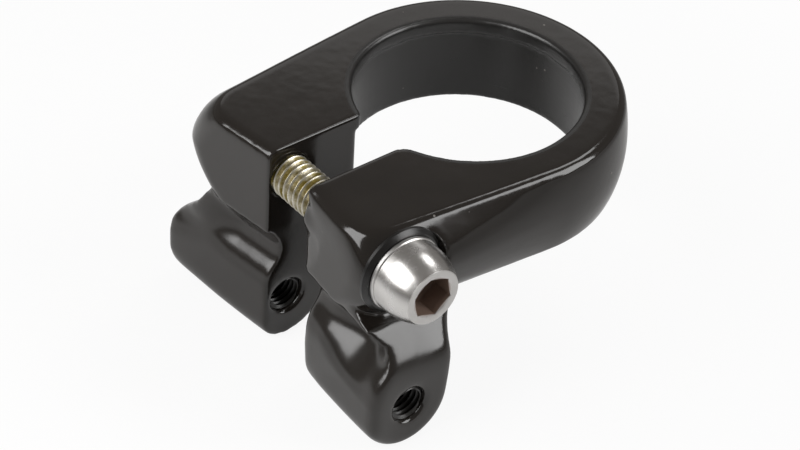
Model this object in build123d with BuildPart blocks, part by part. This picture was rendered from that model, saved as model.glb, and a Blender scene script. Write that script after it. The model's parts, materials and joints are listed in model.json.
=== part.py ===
"""Seatpost clamp with two rack lugs: a one-piece forged collar, its cap bolt and two washers.

Millimetres, +Z up along the seat tube. The origin is on the bore axis, in the collar's bottom plane.
The slit and the two ears face -Y, and the bolt runs along X with its head at +X.
"""

import os
from math import cos, hypot, radians, sin, sqrt, tan

from build123d import *

# Ring round the seat tube
bore_diameter = 31.8
ring_wall = 5.4
ring_height = 13.3
lip_depth = 0.7
lip_height = 2.2
bore_edge_chamfer = 0.3

# Outer walls: widest at the belly, curving in towards the smaller top and bottom outlines
belly_share = 0.5
ear_corner_round = 4.9
top_lean_in = 0.8
top_taper_angle = 7.6
top_corner_round = 6.0
top_edge_round = 1.3
bottom_lean_in = 1.4
bottom_taper_angle = 6.0
bottom_corner_round = 6.0
bottom_edge_round = 0.45

# Front of both ears and legs, which leans forward towards the outer ends
front_wall = 0.5
front_rake_angle = 7.1

# Slit between the ears, nearer to the far ear; the head-side ear's inner front edge is scalloped
slit_width = 8.2
slit_offset = 0.8
near_slit_corner_round = 3.5
far_slit_corner_round = 0.9
scallop_depth = 0.75
scallop_span = 14.0
scallop_angle = 12.0

# Cap bolt
bolt_thread_diameter = 5.9
bolt_length = 40.0
bolt_standoff = 4.75
bolt_height = 8.2
bolt_tip_chamfer = 0.6
head_diameter = 10.2
head_skirt = 1.0
head_height = 5.4
head_top_diameter = 7.8
socket_size = 5.2
socket_depth = 3.2
socket_turn = 40.0
socket_rim_width = 0.12
socket_rim_depth = 0.2

# Thin washer under the head, seat washer below it, and their seat in the head-side ear
washer_thickness = 0.65
washer_overlap = 0.15
washer_edge_chamfer = 0.1
seat_washer_thickness = 0.9
seat_washer_overlap = 0.95
seat_washer_bevel = 0.5
seat_depth = 2.2
seat_clearance = 0.2
washer_clearance = 0.25
shank_clearance = 0.35
tapped_clearance = 0.1

# Legs with the tapped rack lugs
lug_drop = 11.9
lug_flare = 1.7
lug_thread_diameter = 5.0
lug_hole_chamfer = 0.4
waist_step = 0.8
waist_depth = 1.6
waist_height = 6.6
waist_share = 0.42
knee_round = 2.5
toe_round = 3.0
heel_round = 7.5
heel_lean_angle = 7.0
toe_margin = 0.45
hip_tilt = 7.0
hip_height = 1.0
hip_shelf = 3.5
hip_drop = 5.8
hip_round = 5.0
near_hip_inset = 3.5
near_hip_crest = 0.6
near_end_round = 1.2
far_hip_inset = 6.0
far_hip_crest = 1.6
far_end_round = 1.0

# Places worked out from the sizes above
bore_radius = bore_diameter / 2
lip_radius = bore_radius - lip_depth
ring_radius = bore_radius + ring_wall
belly_height = ring_height * belly_share
bolt_radius = bolt_thread_diameter / 2
tapped_radius = bolt_radius + tapped_clearance
shank_hole_radius = bolt_radius + shank_clearance
bolt_y = -(ring_radius + bolt_standoff)
rake = tan(radians(front_rake_angle))
slit_near = slit_offset + slit_width / 2
slit_far = slit_offset - slit_width / 2
front_reach = -bolt_y + shank_hole_radius + front_wall - rake * slit_near
washer_bore_radius = bolt_radius + washer_clearance
washer_radius = head_diameter / 2 + washer_overlap
seat_washer_radius = head_diameter / 2 + seat_washer_overlap
seat_radius = seat_washer_radius + seat_clearance
seat_x = ring_radius - seat_depth
washer_x = seat_x + seat_washer_thickness
head_x = washer_x + washer_thickness
head_top_x = head_x + head_height
tip_x = head_x - bolt_length
socket_corner_radius = socket_size / 2 / cos(radians(30))
lug_reach = ring_radius + lug_flare
lug_y = bolt_y
lug_z = -lug_drop
lug_radius = front_reach + rake * lug_reach + lug_y + toe_margin
leg_bottom = lug_z - lug_radius
far_reach = 2 * (ring_radius + front_reach)
hip_plane = Plane(
    origin=(0, lug_y, 0),
    x_dir=(1, 0, 0),
    z_dir=(0, -cos(radians(hip_tilt)), sin(radians(hip_tilt))),
)


def front_at(x):
    """Y of the raked front face at a distance x from the middle plane."""
    return -(front_reach + rake * x)


def body_outline(height, radius, taper_angle, corner_round):
    """Plan of ring and ears at one height, with side walls tangent to the ring."""
    taper = radians(taper_angle)
    corner_x = (radius / cos(taper) - front_reach * tan(taper)) / (1 + rake * tan(taper))
    with BuildSketch(Plane.XY.offset(height)) as outline:
        with BuildLine():
            ring = CenterArc((0, 0), radius, -taper_angle, 180 + 2 * taper_angle)
            Polyline(
                ring @ 1,
                (-corner_x, front_at(corner_x)),
                (0, front_at(0)),
                (corner_x, front_at(corner_x)),
                ring @ 0,
            )
        make_face()
        fillet(outline.vertices().sort_by(Axis.Y)[:2], corner_round)
    return outline.sketch


def leaning_outlines(end_height, lean_in, taper_angle, corner_round):
    """Plans of ring and ears from the belly to one end, leaning in ever faster."""
    outlines = []
    for share in (0, 0.5, 1):
        lean = share**2
        outlines.append(
            body_outline(
                belly_height + (end_height - belly_height) * share,
                ring_radius - lean_in * lean,
                taper_angle * lean,
                ear_corner_round + (corner_round - ear_corner_round) * share,
            )
        )
    return outlines


def slit_and_bore(height, radius):
    """Plan of the bore at one radius together with the slit and the two corners between them."""
    with BuildSketch(Plane.XY.offset(height)) as plan:
        Circle(radius)
        with Locations((slit_offset, -far_reach / 2)):
            Rectangle(slit_width, far_reach)
        for side_x, size in ((slit_near, near_slit_corner_round), (slit_far, far_slit_corner_round)):
            corner = (side_x, -sqrt(radius**2 - side_x**2))
            fillet(plan.vertices().sort_by_distance(corner)[0], size)
    return plan.sketch


def on_outer_wall(edge):
    """Whether an edge of the collar's top or bottom face lies on the outside, not in slit or bore."""
    middle = edge.center()
    beside_slit = abs(middle.X - slit_offset) > slit_width / 2 + 1e-3
    outside_bore = hypot(middle.X, middle.Y) > bore_radius + ring_wall / 2
    return outside_bore and (beside_slit or middle.Y > 0)


def leg_profile():
    """Side profile of a leg before its front is raked: round toe and hollow heel."""
    heel_lean = radians(heel_lean_angle)
    toe_end = (lug_y + lug_radius * cos(heel_lean), lug_z - lug_radius * sin(heel_lean))
    heel_z = -heel_round * (1 - sin(heel_lean))
    heel_y = toe_end[0] + (heel_z - toe_end[1]) * tan(heel_lean)
    back = heel_y + heel_round * cos(heel_lean)
    with BuildSketch(Plane.YZ) as profile:
        with BuildLine():
            front_line = Line((lug_y - lug_radius, ring_height), (lug_y - lug_radius, lug_z))
            toe = ThreePointArc(front_line @ 1, (lug_y, leg_bottom), toe_end)
            heel_line = Line(toe @ 1, (heel_y, heel_z))
            heel = TangentArc(heel_line @ 1, (back, 0), tangent=heel_line % 1)
            Polyline(heel @ 1, (back, ring_height), front_line @ 0)
        make_face()
    return profile.sketch


def waist_profile():
    """Side profile of the hollow under the ear, its lower corner rounded into the leg's front."""
    front = front_at(0)
    with BuildSketch(Plane.YZ) as profile:
        with BuildLine():
            waist = ThreePointArc(
                (front + waist_step, 0),
                (front + waist_depth, -waist_height * waist_share),
                (front, -waist_height),
            )
            Polyline(
                waist @ 1,
                (front, -waist_height - knee_round),
                (front - waist_height, -waist_height - knee_round),
                (front - waist_height, ring_height),
                (front + waist_step, ring_height),
                waist @ 0,
            )
        make_face()
        fillet(profile.vertices().sort_by_distance((front, -waist_height))[0], knee_round)
    return profile.sketch


def is_lug_rim(edge):
    """Whether a circular edge is the rim of a lug's tapped hole."""
    return abs(edge.radius - lug_thread_diameter / 2) < 1e-3 and abs(edge.arc_center.Z - lug_z) < 1e-3


def along_hip(edge):
    """Whether an edge of a leg runs straight along the hip, between its smoothly joined faces."""
    return edge.geom_type == GeomType.LINE and abs(edge.tangent_at(0.5).dot(hip_plane.z_dir)) > 0.999


def leg(hip_inset, hip_crest, end_round):
    """A leg on the +X side; its hip slopes from a crest under the ear down to the outer end."""
    crest_x = lug_reach - hip_inset
    with BuildPart() as one_leg:
        extrude(leg_profile(), amount=lug_reach)
        with BuildSketch(Plane.XY):
            Polygon((0, front_at(0)), (far_reach, front_at(far_reach)), (far_reach, 0), (0, 0), align=None)
        extrude(amount=far_reach, both=True, mode=Mode.INTERSECT)
        with BuildSketch(hip_plane) as hip:
            Polygon(
                (0, hip_height),
                (crest_x - hip_shelf, hip_height),
                (crest_x, -hip_crest),
                (lug_reach, -hip_drop),
                (lug_reach, 2 * leg_bottom),
                (0, 2 * leg_bottom),
                align=None,
            )
            fillet(hip.vertices().sort_by_distance((lug_reach, -hip_drop))[0], hip_round)
        extrude(amount=far_reach, both=True, mode=Mode.INTERSECT)
        fillet(one_leg.edges().filter_by(GeomType.ELLIPSE).sort_by(Axis.Z)[0], toe_round)
        end_faces = one_leg.faces().sort_by(Axis.X, reverse=True)[:3]
        end_edges = [edge for face in end_faces for edge in face.edges()]
        fillet([edge for edge in end_edges if not along_hip(edge)], end_round)
        extrude(waist_profile(), amount=far_reach, dir=(1, -rake, 0), mode=Mode.SUBTRACT)
    return one_leg.part


scallop_radius = ((scallop_span / 2) ** 2 + scallop_depth**2) / (2 * scallop_depth)
scallop_turn = radians(front_rake_angle + scallop_angle)
scallop_plane = Plane(
    origin=(slit_near, front_at(slit_near), belly_height),
    x_dir=(-sin(scallop_turn), -cos(scallop_turn), 0),
    z_dir=(cos(scallop_turn), -sin(scallop_turn), 0),
)

# Collar: ring and ears with rounded edges, then the legs, the slit with the bore, and the holes
with BuildPart() as collar:
    loft(leaning_outlines(ring_height, top_lean_in, top_taper_angle, top_corner_round))
    loft(leaning_outlines(0, bottom_lean_in, bottom_taper_angle, bottom_corner_round))
    extrude(slit_and_bore(0, lip_radius), amount=ring_height, mode=Mode.SUBTRACT)
    for end, size in ((-1, top_edge_round), (0, bottom_edge_round)):
        fillet(collar.faces().sort_by(Axis.Z)[end].edges().filter_by(on_outer_wall), size)
    add(leg(near_hip_inset, near_hip_crest, near_end_round))
    mirror(leg(far_hip_inset, far_hip_crest, far_end_round), about=Plane.YZ)
    lip_z = ring_height - lip_height
    extrude(slit_and_bore(lip_z, bore_radius), amount=2 * leg_bottom - lip_z, mode=Mode.SUBTRACT)
    with BuildSketch(Plane.XZ):
        for edge_radius, edge_z, inside_z in (
            (bore_radius, 0, bore_edge_chamfer),
            (lip_radius, ring_height, ring_height - bore_edge_chamfer),
        ):
            Polygon(
                (0, edge_z),
                (edge_radius + bore_edge_chamfer, edge_z),
                (edge_radius, inside_z),
                (0, inside_z),
                align=None,
            )
    revolve(axis=Axis.Z, mode=Mode.SUBTRACT)
    with BuildSketch(scallop_plane):
        with Locations((scallop_radius - scallop_depth, 0)):
            Circle(scallop_radius)
    extrude(amount=slit_width / 2, both=True, mode=Mode.SUBTRACT)
    for start_x, hole_radius, length in (
        (seat_x, seat_radius, ring_radius),
        (slit_offset, shank_hole_radius, far_reach),
        (slit_offset, tapped_radius, -far_reach),
    ):
        with BuildSketch(Plane.YZ.offset(start_x)):
            with Locations((bolt_y, bolt_height)):
                Circle(hole_radius)
        extrude(amount=length, mode=Mode.SUBTRACT)
    with BuildSketch(Plane.YZ):
        with Locations((lug_y, lug_z)):
            Circle(lug_thread_diameter / 2)
    extrude(amount=far_reach, both=True, mode=Mode.SUBTRACT)
    chamfer(collar.edges().filter_by(GeomType.CIRCLE).filter_by(is_lug_rim), lug_hole_chamfer)

# Cap bolt: one turned profile, then the hexagon socket
bolt_plane = Plane(origin=(0, bolt_y, bolt_height), x_dir=(1, 0, 0), z_dir=(0, -1, 0))
bolt_axis = Axis((0, bolt_y, bolt_height), (1, 0, 0))
with BuildPart() as bolt:
    with BuildSketch(bolt_plane):
        with BuildLine():
            shank = Polyline(
                (tip_x, 0),
                (tip_x, bolt_radius - bolt_tip_chamfer),
                (tip_x + bolt_tip_chamfer, bolt_radius),
                (head_x, bolt_radius),
                (head_x, head_diameter / 2),
                (head_x + head_skirt, head_diameter / 2),
            )
            dome = TangentArc(shank @ 1, (head_top_x, head_top_diameter / 2), tangent=(1, 0))
            Polyline(
                dome @ 1,
                (head_top_x, socket_corner_radius + socket_rim_width),
                (head_top_x - socket_rim_depth, socket_size / 2),
                (head_top_x - socket_rim_depth, 0),
                (tip_x, 0),
            )
        make_face()
    revolve(axis=bolt_axis)
    with BuildSketch(Plane.YZ.offset(head_top_x)):
        with Locations((bolt_y, bolt_height)):
            RegularPolygon(socket_size / 2, 6, major_radius=False, rotation=socket_turn)
    extrude(amount=-socket_depth, mode=Mode.SUBTRACT)

# Thin washer under the head, with broken edges
with BuildPart() as washer:
    with BuildSketch(Plane.YZ.offset(washer_x)):
        with Locations((bolt_y, bolt_height)):
            Circle(washer_radius)
            Circle(washer_bore_radius, mode=Mode.SUBTRACT)
    extrude(amount=washer_thickness)
    chamfer(washer.edges().filter_by(GeomType.CIRCLE), washer_edge_chamfer)

# Seat washer in the ear, bevelled round its outer face
with BuildPart() as seat_washer:
    with BuildSketch(Plane.YZ.offset(seat_x)):
        with Locations((bolt_y, bolt_height)):
            Circle(seat_washer_radius)
            Circle(washer_bore_radius, mode=Mode.SUBTRACT)
    extrude(amount=seat_washer_thickness)
    chamfer(seat_washer.faces().sort_by(Axis.X)[-1].outer_wire().edges(), seat_washer_bevel)

os.makedirs("parts", exist_ok=True)
collar.part.label = "clamp_collar"
export_step(collar.part, "parts/clamp_collar.step")
bolt.part.label = "clamp_bolt"
export_step(bolt.part, "parts/clamp_bolt.step")
washer.part.label = "bolt_washer"
export_step(washer.part, "parts/bolt_washer.step")
seat_washer.part.label = "seat_washer"
export_step(seat_washer.part, "parts/seat_washer.step")
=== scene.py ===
"""Studio picture of a black seat clamp with two rack lugs, a silver cap bolt and two washers.

Metres, in the part's own frame: +Z up the seat tube, the slit at -Y, the bolt along X, its head at +X.
"""

import json
import math

import bpy
from mathutils import Matrix, Vector

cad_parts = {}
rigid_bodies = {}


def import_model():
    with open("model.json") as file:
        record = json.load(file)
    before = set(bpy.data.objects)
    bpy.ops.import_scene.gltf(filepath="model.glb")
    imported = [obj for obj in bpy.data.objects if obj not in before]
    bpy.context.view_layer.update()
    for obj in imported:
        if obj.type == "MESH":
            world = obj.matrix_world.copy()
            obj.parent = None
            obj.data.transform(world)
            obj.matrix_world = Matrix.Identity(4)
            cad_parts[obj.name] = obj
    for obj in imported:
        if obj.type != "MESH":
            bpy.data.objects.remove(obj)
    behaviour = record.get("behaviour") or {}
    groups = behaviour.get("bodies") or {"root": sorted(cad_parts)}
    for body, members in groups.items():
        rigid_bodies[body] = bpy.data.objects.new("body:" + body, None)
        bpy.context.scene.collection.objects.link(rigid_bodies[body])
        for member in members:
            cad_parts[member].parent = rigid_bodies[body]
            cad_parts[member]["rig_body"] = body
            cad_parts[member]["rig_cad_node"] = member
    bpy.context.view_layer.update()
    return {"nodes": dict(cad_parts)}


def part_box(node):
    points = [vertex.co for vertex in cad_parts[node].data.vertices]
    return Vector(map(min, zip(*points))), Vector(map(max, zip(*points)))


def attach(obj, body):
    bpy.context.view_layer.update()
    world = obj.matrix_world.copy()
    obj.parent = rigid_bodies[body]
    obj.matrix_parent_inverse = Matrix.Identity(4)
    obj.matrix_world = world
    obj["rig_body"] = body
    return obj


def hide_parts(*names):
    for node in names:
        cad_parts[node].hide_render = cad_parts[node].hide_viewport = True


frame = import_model()

# Clamp collar: ring, two ears and two hanging legs, one aluminium forging that is then bored and slit.
# The forging die leaves every edge of the legs round, so they are softened more than the cut edges.
# The finish is gloss black over a faint ripple, and the bore keeps the fine rings of the boring tool.
MM = 0.001
MESH_CELL = 0.34 * MM
BORE_RADIUS = 15.9 * MM
BOLT_Y, BOLT_Z = -26.05 * MM, 8.2 * MM
LUG_Y, LUG_Z = -26.05 * MM, -11.9 * MM
LUG_HOLE_RADIUS = 2.5 * MM
LUG_RIM_START, LUG_RIM_END = LUG_HOLE_RADIUS + 0.5 * MM, LUG_HOLE_RADIUS + 1.6 * MM
FAR_HIP_DROP = 2.3 * MM
FAR_WAIST_FILL = 1.1 * MM
NEAR_WAIST_SINK = 2.0 * MM
FAR_WAIST_SINK = 0.8 * MM
CHEEK_SWELL = 0.9 * MM
WEB_RADIUS, WEB_WALL = 3.95 * MM, 0.65 * MM
WEB_START, WEB_LENGTH = 4.95 * MM, 5 * MM


def ramp(value, low, high):
    """0 at low, 1 at high, with a smooth start and end; low may be the larger."""
    share = min(max((value - low) / (high - low), 0.0), 1.0)
    return share * share * (3 - 2 * share)


def copy_of(node_name, piece_name):
    """A loose copy of one of the frame's solids, its triangles joined; it becomes the active object."""
    bpy.ops.object.select_all(action="DESELECT")
    solid = frame["nodes"][node_name]
    solid.select_set(True)
    bpy.context.view_layer.objects.active = solid
    bpy.ops.object.duplicate()
    piece = bpy.context.object
    piece.name = piece_name
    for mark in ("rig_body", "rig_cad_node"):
        del piece[mark]
    bpy.ops.object.parent_clear(type="CLEAR")
    bpy.ops.mesh.customdata_custom_splitnormals_clear()
    bpy.ops.object.mode_set(mode="EDIT")
    bpy.ops.mesh.select_all(action="SELECT")
    bpy.ops.mesh.remove_doubles(threshold=0.001 * MM)
    bpy.ops.object.mode_set(mode="OBJECT")
    return piece


def soften(piece, share, rounds):
    """Wears the edges of the active piece round; share(place) says where, from 0 to 1."""
    worn = piece.vertex_groups.new(name="worn")
    for point in piece.data.vertices:
        amount = share(point.co)
        if amount > 0.001:
            worn.add([point.index], amount, "REPLACE")
    smooth = piece.modifiers.new("soften", "SMOOTH")
    smooth.vertex_group = worn.name
    smooth.factor = 0.5
    smooth.iterations = rounds
    bpy.ops.object.modifier_apply(modifier=smooth.name)
    piece.vertex_groups.clear()


def off_lug_hole(place):
    """0 round the rims of the cross holes in the legs, 1 away from them."""
    reach = math.hypot(place.y - LUG_Y, place.z - LUG_Z)
    return ramp(reach, LUG_RIM_START, LUG_RIM_END)


def everywhere(place):
    """The whole collar alike."""
    return 1.0


def on_legs(place):
    """Both legs below the ears, but for the rims of their cross holes."""
    return ramp(place.z, 0.6 * MM, -1.8 * MM) * off_lug_hole(place)


def on_far_end(place):
    """The outer end of the far leg."""
    return ramp(place.x, -12 * MM, -18 * MM) * ramp(place.z, -0.5 * MM, -3 * MM)


def on_far_hip(place):
    """The upper outer corner of the far leg, which the die leaves lower than the near one."""
    tall = ramp(place.z, -14 * MM, -7 * MM) * ramp(place.z, 0.6 * MM, -2 * MM)
    return tall * ramp(place.x, -12 * MM, -22 * MM)


def on_far_waist(place):
    """The front hollow of the far leg under the ear, which runs out towards the leg's outer end."""
    across = ramp(place.z, 0.2 * MM, -3 * MM) * ramp(place.z, -7.5 * MM, -4 * MM)
    return across * ramp(place.x, -10 * MM, -18 * MM) * ramp(place.y, -24 * MM, -27 * MM)


def on_far_hollow(place):
    """The deepest part of the far leg's front hollow, which runs out through the slit."""
    across = ramp(place.z, 0.0, -3.8 * MM) * ramp(place.z, -9 * MM, -4.8 * MM)
    return across * ramp(place.x, -15.5 * MM, -10 * MM) * ramp(place.y, -24 * MM, -27 * MM)


def on_near_slit_edge(place):
    """The long front edge of the near leg beside the slit."""
    at_slit = ramp(place.x, 10 * MM, 6 * MM) * ramp(place.x, 0.0, 2 * MM)
    at_front = ramp(place.z, 0.2 * MM, -2 * MM) * ramp(place.y, -25 * MM, -28 * MM)
    return at_slit * at_front * off_lug_hole(place)


def on_near_waist(place):
    """The front hollow of the near leg, deepest two thirds of the way to the leg's outer end."""
    across = ramp(place.z, 0.0, -4 * MM) * ramp(place.z, -10.5 * MM, -5.6 * MM)
    along = ramp(place.x, 9 * MM, 16 * MM) * (0.3 + 0.7 * ramp(place.x, 22 * MM, 17 * MM))
    return across * along * ramp(place.y, -17 * MM, -28 * MM)


def on_near_cheek(place):
    """The front edge of the near ear beside the slit, which swells towards the slit at mid height."""
    tall = ramp(place.z, 0.5 * MM, 5 * MM) * ramp(place.z, 13 * MM, 8 * MM)
    at_slit = ramp(place.x, 8.5 * MM, 5 * MM) * ramp(place.x, 1 * MM, 3 * MM)
    return tall * at_slit * ramp(place.y, -25 * MM, -28.5 * MM)


def on_near_hip(place):
    """The outer edge of the near leg's hip, over the end with the cross hole."""
    tall = ramp(place.z, -1 * MM, -3 * MM) * ramp(place.z, -11 * MM, -8 * MM)
    return tall * ramp(place.x, 17 * MM, 20 * MM)


def on_near_brow(place):
    """The top front edge of the near ear, which the die leaves rounder than the far one."""
    along = ramp(place.x, 5 * MM, 7.5 * MM) * ramp(place.x, 17 * MM, 13 * MM)
    return along * ramp(place.y, -24 * MM, -27 * MM) * ramp(place.z, 6 * MM, 9 * MM)


ROUNDS_BEFORE_SHAPING = {everywhere: 3, on_legs: 16}
ROUNDS_AFTER_SHAPING = {
    on_far_end: 60,
    on_near_slit_edge: 70,
    on_near_hip: 24,
    on_near_cheek: 30,
    on_near_brow: 120,
}
collar = copy_of("clamp_collar", "forged_collar")

# A web of metal closes the near bolt hole where the scalloped edge of the ear breaks into it
bpy.ops.object.select_all(action="DESELECT")
bpy.ops.mesh.primitive_cylinder_add(
    vertices=64,
    radius=WEB_RADIUS,
    depth=WEB_LENGTH,
    end_fill_type="NOTHING",
    location=(WEB_START + WEB_LENGTH / 2, BOLT_Y, BOLT_Z),
    rotation=(0, math.radians(90), 0),
)
web = bpy.context.object
wall = web.modifiers.new("wall", "SOLIDIFY")
wall.thickness = WEB_WALL
wall.offset = -1
bpy.ops.object.modifier_apply(modifier=wall.name)
collar.select_set(True)
bpy.context.view_layer.objects.active = collar
bpy.ops.object.join()

skin = collar.modifiers.new("skin", "REMESH")
skin.mode = "VOXEL"
skin.voxel_size = MESH_CELL
bpy.ops.object.modifier_apply(modifier=skin.name)
for worn_place, rounds in ROUNDS_BEFORE_SHAPING.items():
    soften(collar, worn_place, rounds)
for point in collar.data.vertices:
    point.co.z -= FAR_HIP_DROP * on_far_hip(point.co)
    point.co.y -= FAR_WAIST_FILL * on_far_waist(point.co)
    point.co.y += NEAR_WAIST_SINK * on_near_waist(point.co) + FAR_WAIST_SINK * on_far_hollow(point.co)
    point.co.x -= CHEEK_SWELL * on_near_cheek(point.co)
for worn_place, rounds in ROUNDS_AFTER_SHAPING.items():
    soften(collar, worn_place, rounds)
bpy.ops.object.shade_smooth()


class Value:
    """A number, colour or shader of a finish; sums and products of numbers become nodes of it."""

    def __init__(self, finish, socket):
        self.finish = finish
        self.socket = socket

    def other(self, output):
        """Another output of the node that this value comes from."""
        return Value(self.finish, self.socket.node.outputs[output])

    def math(self, operation, other, swapped=False):
        """This value and another put through one of the math node's operations."""
        pair = (other, self) if swapped else (self, other)
        return self.finish.node("ShaderNodeMath", {"operation": operation}, {0: pair[0], 1: pair[1]})

    def __add__(self, other):
        return self.math("ADD", other)

    def __radd__(self, other):
        return self.math("ADD", other, swapped=True)

    def __sub__(self, other):
        return self.math("SUBTRACT", other)

    def __rsub__(self, other):
        return self.math("SUBTRACT", other, swapped=True)

    def __mul__(self, other):
        return self.math("MULTIPLY", other)

    def __pow__(self, power):
        return self.math("POWER", power)

    def ramp(self, low, high):
        """0 at low, 1 at high, with a smooth start and end; low may be the larger."""
        return self.finish.node(
            "ShaderNodeMapRange",
            {"interpolation_type": "SMOOTHSTEP", "clamp": True},
            {"Value": self, "From Min": low, "From Max": high},
        )


class Finish:
    """A material with one Principled shader, and the nodes that vary its colour, gloss and relief."""

    DOT_RIM, DOT_CORE = 0.16, 0.08

    def __init__(self, name, **constants):
        self.material = bpy.data.materials.new(name)
        self.material.use_nodes = True
        self.tree = self.material.node_tree
        self.shader = self.tree.nodes["Principled BSDF"]
        self.output = self.tree.nodes["Material Output"]
        for socket, value in constants.items():
            self.shader.inputs[socket.replace("_", " ")].default_value = value

    def node(self, kind, settings=None, sockets=None, output=0):
        """A new node with these settings and inputs; gives one of its outputs."""
        made = self.tree.nodes.new(kind)
        for name, value in (settings or {}).items():
            setattr(made, name, value)
        for socket, value in (sockets or {}).items():
            if isinstance(value, Value):
                self.tree.links.new(value.socket, made.inputs[socket])
            else:
                made.inputs[socket].default_value = value
        return Value(self, made.outputs[output])

    def place(self):
        """Where a point of the surface lies, in the piece's own coordinates."""
        return self.node("ShaderNodeTexCoord", output="Object")

    def axes(self):
        """The x, y and z of that place."""
        x = self.node("ShaderNodeSeparateXYZ", sockets={0: self.place()})
        return x, x.other("Y"), x.other("Z")

    def clouds(self, size, detail=2.0, stretch=(1, 1, 1)):
        """Cloudy pattern from 0 to 1, its blobs about size across before they are stretched."""
        spread = self.node("ShaderNodeMapping", sockets={"Vector": self.place(), "Scale": stretch})
        sockets = {"Vector": spread, "Scale": 1 / size, "Detail": detail}
        return self.node("ShaderNodeTexNoise", sockets=sockets)

    def specks(self, size, share):
        """1 inside small dots, 0 elsewhere; share is how many of the cells of that size hold one."""
        cells = self.node("ShaderNodeTexVoronoi", sockets={"Vector": self.place(), "Scale": 1 / size})
        chance = self.node("ShaderNodeSeparateColor", sockets={"Color": cells.other("Color")})
        return cells.ramp(self.DOT_RIM, self.DOT_CORE) * chance.ramp(1 - share, 1.001 - share)

    def blend(self, mask, low, high):
        """Colour that goes from low to high as the mask goes from 0 to 1."""
        low, high = (end if isinstance(end, Value) else (*end, 1) for end in (low, high))
        return self.node("ShaderNodeMix", {"data_type": "RGBA"}, {0: mask, 6: low, 7: high}, output=2)

    def feed(self, socket, value):
        """Lets a value vary one input of the shader."""
        self.tree.links.new(value.socket, self.shader.inputs[socket])

    def relief(self, height, depth):
        """Stands the surface up by depth where height is 1."""
        bump = self.node("ShaderNodeBump", sockets={"Height": height, "Strength": 1.0, "Distance": depth})
        self.feed("Normal", bump)


gloss_black = Finish("gloss_black", IOR=1.56)
x, y, z = gloss_black.axes()
from_axis = (x * x + y * y) ** 0.5
bore = from_axis.ramp(BORE_RADIUS + 0.3 * MM, BORE_RADIUS + 0.1 * MM) * z.ramp(-0.2 * MM, 0.1 * MM)
patches = gloss_black.clouds(7 * MM, detail=3)
ripple = gloss_black.clouds(2.2 * MM, detail=1)
pits = gloss_black.clouds(0.3 * MM)
dents = gloss_black.clouds(0.8 * MM, detail=2)
tool_rings = gloss_black.clouds(0.2 * MM, stretch=(0.02, 0.02, 1))
dust = gloss_black.specks(1.3 * MM, 0.02)
black = gloss_black.blend(patches, (0.009, 0.0072, 0.0058), (0.015, 0.0122, 0.01))
black = gloss_black.blend(bore, black, (0.013, 0.0124, 0.0118))
gloss_black.feed("Base Color", gloss_black.blend(dust, black, (0.14, 0.13, 0.12)))
as_forged = z.ramp(1 * MM, -1 * MM) * z.ramp(-12 * MM, -8 * MM) * y.ramp(-20 * MM, -24 * MM)
gloss = 0.07 + patches * 0.05 + pits * 0.04 + as_forged * 0.1
gloss_black.feed("Roughness", gloss + bore * (tool_rings * 0.1 + 0.14) + dust * 0.4)
uneven = ripple * 0.7 + pits * 0.04 + as_forged * dents * 0.5
gloss_black.relief(uneven + bore * tool_rings * 0.4, 0.016 * MM)

collar.data.materials.clear()
collar.data.materials.append(gloss_black.material)
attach(collar, "collar")
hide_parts("clamp_collar")

# Lug threads: the cross hole of each leg is tapped for the small bolt that carries a rack stay.
# The ridges are cut in the aluminium and keep the black finish, duller than the outside.
STEPS_PER_TURN = 48
SPARE_TURNS = 1.5
LUG_PITCH = 0.8 * MM
LUG_RIDGE_RADIUS = 2.12 * MM
LUG_WALL = 0.15 * MM
LUG_SPANS = {"near_lug_thread": (5.6 * MM, 22.3 * MM), "far_lug_thread": (-22.3 * MM, -4.0 * MM)}


def wind_thread(name, profile, pitch, start, end, centre, closed):
    """A thread along X from start to end: one ridge is drawn point by point and wound up a helix.

    The profile lists (share of a pitch, radius). Spare turns are wound past both ends and cut off flat,
    and the ends are filled if closed."""
    bpy.ops.object.select_all(action="DESELECT")
    bpy.ops.mesh.primitive_plane_add(size=MM)
    thread = bpy.context.object
    thread.name = name
    bpy.ops.object.mode_set(mode="EDIT")
    bpy.ops.mesh.select_all(action="SELECT")
    bpy.ops.mesh.merge(type="CENTER")
    bpy.ops.transform.translate(value=(start - SPARE_TURNS * pitch, 0, profile[0][1]))
    for (before, low), (after, high) in zip(profile, profile[1:]):
        stroke = ((after - before) * pitch, 0, high - low)
        bpy.ops.mesh.extrude_vertices_move(TRANSFORM_OT_translate={"value": stroke})
    bpy.ops.object.mode_set(mode="OBJECT")
    winding = thread.modifiers.new("winding", "SCREW")
    winding.axis = "X"
    winding.screw_offset = pitch
    winding.iterations = math.ceil((end - start) / pitch) + int(2 * SPARE_TURNS)
    winding.steps = STEPS_PER_TURN
    winding.render_steps = STEPS_PER_TURN
    bpy.ops.object.modifier_apply(modifier=winding.name)
    bpy.ops.object.mode_set(mode="EDIT")
    bpy.ops.mesh.select_all(action="SELECT")
    bpy.ops.mesh.remove_doubles(threshold=0.001 * MM)
    for cut, outwards in ((start, -1), (end, 1)):
        bpy.ops.mesh.select_all(action="SELECT")
        bpy.ops.mesh.bisect(plane_co=(cut, 0, 0), plane_no=(outwards, 0, 0), clear_outer=True)
    bpy.ops.mesh.select_all(action="SELECT")
    if closed:
        bpy.ops.mesh.fill_holes(sides=0)
        bpy.ops.mesh.select_all(action="SELECT")
    bpy.ops.mesh.normals_make_consistent(inside=False)
    bpy.ops.transform.translate(value=centre)
    bpy.ops.object.mode_set(mode="OBJECT")
    return thread


dull_black = Finish("dull_black", IOR=1.5)
scrape = dull_black.clouds(0.5 * MM, detail=3)
dull_black.feed("Base Color", dull_black.blend(scrape, (0.008, 0.0074, 0.007), (0.03, 0.028, 0.026)))
dull_black.feed("Roughness", 0.24 + scrape * 0.14)
dull_black.relief(scrape, 0.008 * MM)

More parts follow.
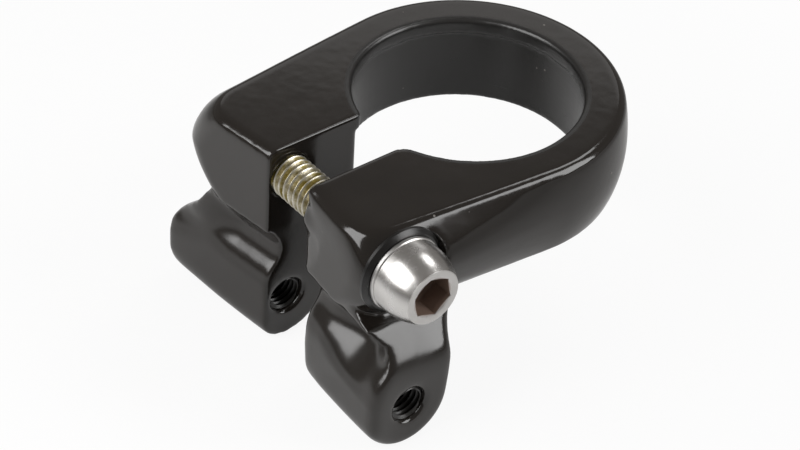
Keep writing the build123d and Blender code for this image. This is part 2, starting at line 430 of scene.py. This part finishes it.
lug_ridge = [
    (0.0, LUG_HOLE_RADIUS),
    (0.12, LUG_HOLE_RADIUS),
    (0.42, LUG_RIDGE_RADIUS),
    (0.58, LUG_RIDGE_RADIUS),
    (0.88, LUG_HOLE_RADIUS),
    (1.0, LUG_HOLE_RADIUS),
]
for name, (start, end) in LUG_SPANS.items():
    lug_thread = wind_thread(name, lug_ridge, LUG_PITCH, start, end, (0, LUG_Y, LUG_Z), closed=False)
    wall = lug_thread.modifiers.new("wall", "SOLIDIFY")
    wall.thickness = LUG_WALL
    wall.offset = 1
    bpy.ops.object.modifier_apply(modifier=wall.name)
    bpy.ops.object.shade_smooth_by_angle(angle=math.radians(40))
    lug_thread.data.materials.append(dull_black.material)
    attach(lug_thread, "collar")

# Seat washer: a bevelled steel ring, blacked, that lies in the seat of the ear on the head's side.
# It is turned, so its finish has fine rings about the bolt's axis.
SEAT_TOOL_FEED = 0.12 * MM


def from_bolt_axis(finish):
    """Distance from the bolt's axis over a surface."""
    y, z = finish.axes()[1:]
    aside = y - BOLT_Y
    above = z - BOLT_Z
    return (aside * aside + above * above) ** 0.5


def turned_rings(finish, spacing):
    """Fine rings about the bolt's axis, from 0 to 1, such as a lathe tool leaves."""
    sockets = {"W": from_bolt_axis(finish), "Scale": 1 / spacing, "Detail": 2.0}
    return finish.node("ShaderNodeTexNoise", {"noise_dimensions": "1D"}, sockets)


washer_black = Finish("washer_black", IOR=1.5)
turned = turned_rings(washer_black, SEAT_TOOL_FEED)
smudge = washer_black.clouds(1.5 * MM, detail=3)
black = washer_black.blend(smudge, (0.003, 0.0028, 0.0026), (0.007, 0.0065, 0.006))
washer_black.feed("Base Color", black)
washer_black.feed("Roughness", 0.2 + smudge * 0.1 + turned * 0.1)
washer_black.relief(turned, 0.004 * MM)
seat_washer = frame["nodes"]["seat_washer"]
seat_washer.material_slots[0].material = washer_black.material

# Thin washer: a turned stainless ring, loose between the seat washer and the head.
# Tumbling has dulled it a little more than the bolt.
WASHER_TOOL_FEED = 0.1 * MM
washer_steel = Finish("washer_steel", Metallic=1.0)
turned = turned_rings(washer_steel, WASHER_TOOL_FEED)
smudge = washer_steel.clouds(1.0 * MM, detail=3)
washer_steel.feed("Base Color", washer_steel.blend(smudge, (0.5, 0.49, 0.475), (0.66, 0.65, 0.64)))
washer_steel.feed("Roughness", 0.26 + smudge * 0.12)
washer_steel.relief(turned, 0.004 * MM)
thin_washer = frame["nodes"]["bolt_washer"]
thin_washer.material_slots[0].material = washer_steel.material

# Cap bolt head: cold-headed stainless steel with a domed crown, a flat land and a hexagon socket.
# The crown is polished and the land is turned; the punched socket is painted dark brown and dull, as
# painted shade in the recess.
HEAD_CUT = 17 * MM
LAND_X = 26.05 * MM
SOCKET_REACH = 3.15 * MM
UNDER_HEAD = 20.65 * MM
LAND_TOOL_FEED = 0.1 * MM

head = copy_of("clamp_bolt", "bolt_head")
bpy.ops.object.mode_set(mode="EDIT")
bpy.ops.mesh.select_all(action="SELECT")
bpy.ops.mesh.bisect(plane_co=(HEAD_CUT, 0, 0), plane_no=(-1, 0, 0), clear_outer=True, use_fill=True)
bpy.ops.object.mode_set(mode="OBJECT")
bpy.ops.object.shade_smooth_by_angle(angle=math.radians(25))

bright_steel = Finish("bright_steel")
x = bright_steel.axes()[0]
reach = from_bolt_axis(bright_steel)
below_land = x.ramp(LAND_X - 0.05 * MM, LAND_X - 0.25 * MM) * x.ramp(UNDER_HEAD, UNDER_HEAD + 0.1 * MM)
# Painted shade: inside the socket the steel is painted dark brown and made mostly non-metallic
socket = reach.ramp(SOCKET_REACH + 0.05 * MM, SOCKET_REACH) * below_land
land = x.ramp(LAND_X - 0.1 * MM, LAND_X - 0.02 * MM)
smudge = bright_steel.clouds(1.6 * MM, detail=4)
polish = bright_steel.clouds(0.14 * MM, detail=3)
turned = turned_rings(bright_steel, LAND_TOOL_FEED)
silver = bright_steel.blend(smudge, (0.55, 0.535, 0.515), (0.68, 0.67, 0.66))
bright_steel.feed("Base Color", bright_steel.blend(socket, silver, (0.2, 0.14, 0.11)))
bright_steel.feed("Metallic", 1 - socket * 0.85)
bright_steel.feed("Roughness", 0.17 + smudge * 0.12 + polish * 0.06 + land * 0.15 + socket * 0.1)
bright_steel.relief(polish * 0.5 + land * turned, 0.004 * MM)
head.data.materials.clear()
head.data.materials.append(bright_steel.material)
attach(head, "bolt")
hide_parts("clamp_bolt")

# Bolt thread: a rolled right-hand thread from the tip to the short plain shank under the head.
# It screws into the far ear, which is tapped for it.
# Locking paste has dried on it, yellow and olive in the roots and worn off the crests.
THREAD_PITCH = 1.0 * MM
THREAD_ROOT = 2.36 * MM
THREAD_CREST = 2.95 * MM
CREST_ROUNDING = 0.06 * MM
THREAD_TIP = -19.35 * MM
TIP_RADIUS = THREAD_ROOT - 0.1 * MM

rolled_ridge = [
    (0.0, THREAD_ROOT),
    (0.1, THREAD_ROOT),
    (0.4, THREAD_CREST - CREST_ROUNDING),
    (0.46, THREAD_CREST),
    (0.54, THREAD_CREST),
    (0.6, THREAD_CREST - CREST_ROUNDING),
    (0.9, THREAD_ROOT),
    (1.0, THREAD_ROOT),
]
bolt_centre = Vector((0, BOLT_Y, BOLT_Z))
thread = wind_thread(
    "bolt_thread", rolled_ridge, THREAD_PITCH, THREAD_TIP, HEAD_CUT, bolt_centre, closed=True
)

# The tip tapers at 45 degrees, so that the bolt finds its hole
for point in thread.data.vertices:
    reach = Vector((0, point.co.y - BOLT_Y, point.co.z - BOLT_Z))
    most = TIP_RADIUS + (point.co.x - THREAD_TIP)
    if reach.length > most:
        point.co = Vector((point.co.x, BOLT_Y, BOLT_Z)) + reach.normalized() * most
bpy.ops.object.shade_smooth_by_angle(angle=math.radians(35))

pasted_steel = Finish("pasted_steel", Metallic=0.9)
reach = from_bolt_axis(pasted_steel)
crest = reach.ramp(THREAD_CREST - 0.2 * MM, THREAD_CREST - 0.05 * MM)
smear = pasted_steel.clouds(1.4 * MM, detail=3).ramp(0.35, 0.62)
crumbs = pasted_steel.clouds(0.25 * MM, detail=3)
silver = pasted_steel.blend(crumbs, (0.5, 0.48, 0.42), (0.82, 0.79, 0.7))
paste = pasted_steel.blend(crumbs, (0.1, 0.075, 0.015), (0.36, 0.29, 0.09))
pasted = (1 - crest * 0.75) * (0.45 + smear * 0.55)
pasted_steel.feed("Base Color", pasted_steel.blend(pasted, silver, paste))
pasted_steel.feed("Roughness", 0.2 + pasted * 0.25 + crumbs * 0.1)
pasted_steel.relief(crumbs, 0.02 * MM)
thread.data.materials.append(pasted_steel.material)
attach(thread, "bolt")

# Paper floor: a wide sheet of paper with the clamp's legs standing on it, white to the eye all over.
# It keeps some of the clamp's shadow. Its colour, and its glow in what the black metal mirrors, carry a
# painted pool
# of light: pale near the clamp and grey further off, as under a small lamp, and that gives the gloss its
# soft changes of tone.
FLOOR_WIDTH = 6.0
GLOW_TO_EYE, GLOW_TO_METAL = 0.9, 0.1
# Centre and radii of the pool of light painted on the paper
PAINTED_LIGHT_X, PAINTED_LIGHT_Y = -25 * MM, -35 * MM
PAINTED_LIGHT_INNER, PAINTED_LIGHT_OUTER = 30 * MM, 170 * MM
bpy.ops.object.select_all(action="DESELECT")
bpy.ops.mesh.primitive_plane_add(size=FLOOR_WIDTH)
floor = bpy.context.object
floor.name = "paper_floor"
bpy.ops.object.mode_set(mode="EDIT")
bpy.ops.mesh.select_all(action="SELECT")
bpy.ops.transform.translate(value=(0, 0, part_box("clamp_collar")[0].z))
bpy.ops.object.mode_set(mode="OBJECT")

paper = Finish("white_paper", Roughness=0.9)
fibre = paper.clouds(2 * MM, detail=3)
x, y = paper.axes()[:2]
aside, ahead = x - PAINTED_LIGHT_X, y - PAINTED_LIGHT_Y
# Painted light: the paper's colour and its glow in reflections fade from pale near the clamp to grey far
# off
painted_light_pool = ((aside * aside + ahead * ahead) ** 0.5).ramp(PAINTED_LIGHT_OUTER, PAINTED_LIGHT_INNER)
white = paper.blend(fibre, (0.74, 0.74, 0.74), (0.79, 0.79, 0.79))
paper.feed("Base Color", paper.blend(painted_light_pool, (0.3, 0.3, 0.3), white))
glow = paper.node("ShaderNodeEmission", sockets={"Color": (1, 1, 1, 1), "Strength": 1.0})
eye = paper.node("ShaderNodeLightPath", output="Is Camera Ray")
mirrored = eye.other("Is Glossy Ray").math("MAXIMUM", eye.other("Is Transmission Ray"))
seen = eye * (1 - painted_light_pool * (1 - GLOW_TO_EYE)) + mirrored * painted_light_pool * GLOW_TO_METAL
matt = Value(paper, paper.shader.outputs[0])
sheet = paper.node("ShaderNodeMixShader", sockets={0: seen, 1: matt, 2: glow})
paper.tree.links.new(sheet.socket, paper.output.inputs["Surface"])
floor.data.materials.append(paper.material)

# Studio: a dim grey room with soft boxes in front, on the right and high at the back, and a white card.
# Their reflections draw the windows on the bolt head and the long lights on the black edges.
ROOM_GREY = (0.215, 0.205, 0.195, 1)
room = bpy.data.worlds.new("grey_room")
room.use_nodes = True
room.node_tree.nodes["Background"].inputs["Color"].default_value = ROOM_GREY
bpy.context.scene.world = room


def towards(azimuth, elevation):
    """Unit vector from the clamp outwards; azimuth 0 is in front of the slit, 90 at the bolt head."""
    turn, rise = math.radians(azimuth), math.radians(elevation)
    return Vector((math.sin(turn) * math.cos(rise), -math.cos(turn) * math.cos(rise), math.sin(rise)))


def hang_soft_box(name, azimuth, elevation, distance, width, height, brightness):
    """A lit white sheet, as bright as brightness times white paper, that faces the clamp."""
    lamp = bpy.data.lights.new(name, "AREA")
    lamp.shape = "RECTANGLE"
    lamp.size = width
    lamp.size_y = height
    lamp.energy = brightness * math.pi * width * height
    holder = bpy.data.objects.new(name, lamp)
    bpy.context.scene.collection.objects.link(holder)
    back = towards(azimuth, elevation)
    holder.visible_camera = False
    holder.location = back * distance
    holder.rotation_euler = back.to_track_quat("Z", "Y").to_euler()


hang_soft_box(
    "front_left_box", azimuth=-10, elevation=38, distance=0.38, width=0.28, height=0.28, brightness=5.4
)
hang_soft_box(
    "right_box", azimuth=131, elevation=29, distance=0.6, width=0.3, height=0.48, brightness=5.5
)
hang_soft_box(
    "back_box", azimuth=-171, elevation=55, distance=0.6, width=0.2, height=0.17, brightness=4.0
)
hang_soft_box(
    "back_card", azimuth=-130, elevation=30, distance=0.6, width=0.36, height=0.15, brightness=0.6
)

# Camera: a long lens above the bolt-head side of the slit, rolled a little.
# It looks at the frame's origin, which is on the bore's axis, then pans and tilts until the origin
# lands on its pixel of the picture.
AZIMUTH, ELEVATION, ROLL = 48.75, 37.87, math.radians(4.13)
DISTANCE = 0.4251
LENS, SENSOR = 144.0, 36.0
PICTURE_WIDTH, PICTURE_HEIGHT = 800, 450
ORIGIN_PIXEL = (462.46, 168.0)
back = towards(AZIMUTH, ELEVATION)
level = towards(AZIMUTH + 90, 0)
upright = back.cross(level)
right = level * math.cos(ROLL) + upright * math.sin(ROLL)
up = upright * math.cos(ROLL) - level * math.sin(ROLL)
focal = LENS / SENSOR * PICTURE_WIDTH
pan = math.atan2(ORIGIN_PIXEL[0] - PICTURE_WIDTH / 2, focal)
tilt = math.atan2(ORIGIN_PIXEL[1] - PICTURE_HEIGHT / 2, focal)
right, behind = (
    right * math.cos(pan) - back * math.sin(pan),
    back * math.cos(pan) + right * math.sin(pan),
)
up, behind = (
    up * math.cos(tilt) + behind * math.sin(tilt),
    behind * math.cos(tilt) - up * math.sin(tilt),
)
lens = bpy.data.cameras.new("long_lens")
lens.lens = LENS
lens.sensor_width = SENSOR
lens.clip_start = 0.01
camera = bpy.data.objects.new("long_lens", lens)
bpy.context.scene.collection.objects.link(camera)
facing = Matrix((right, up, behind)).transposed().to_4x4()
camera.matrix_world = Matrix.Translation(back * DISTANCE) @ facing
bpy.context.scene.camera = camera
bpy.context.scene.view_settings.view_transform = "Standard"
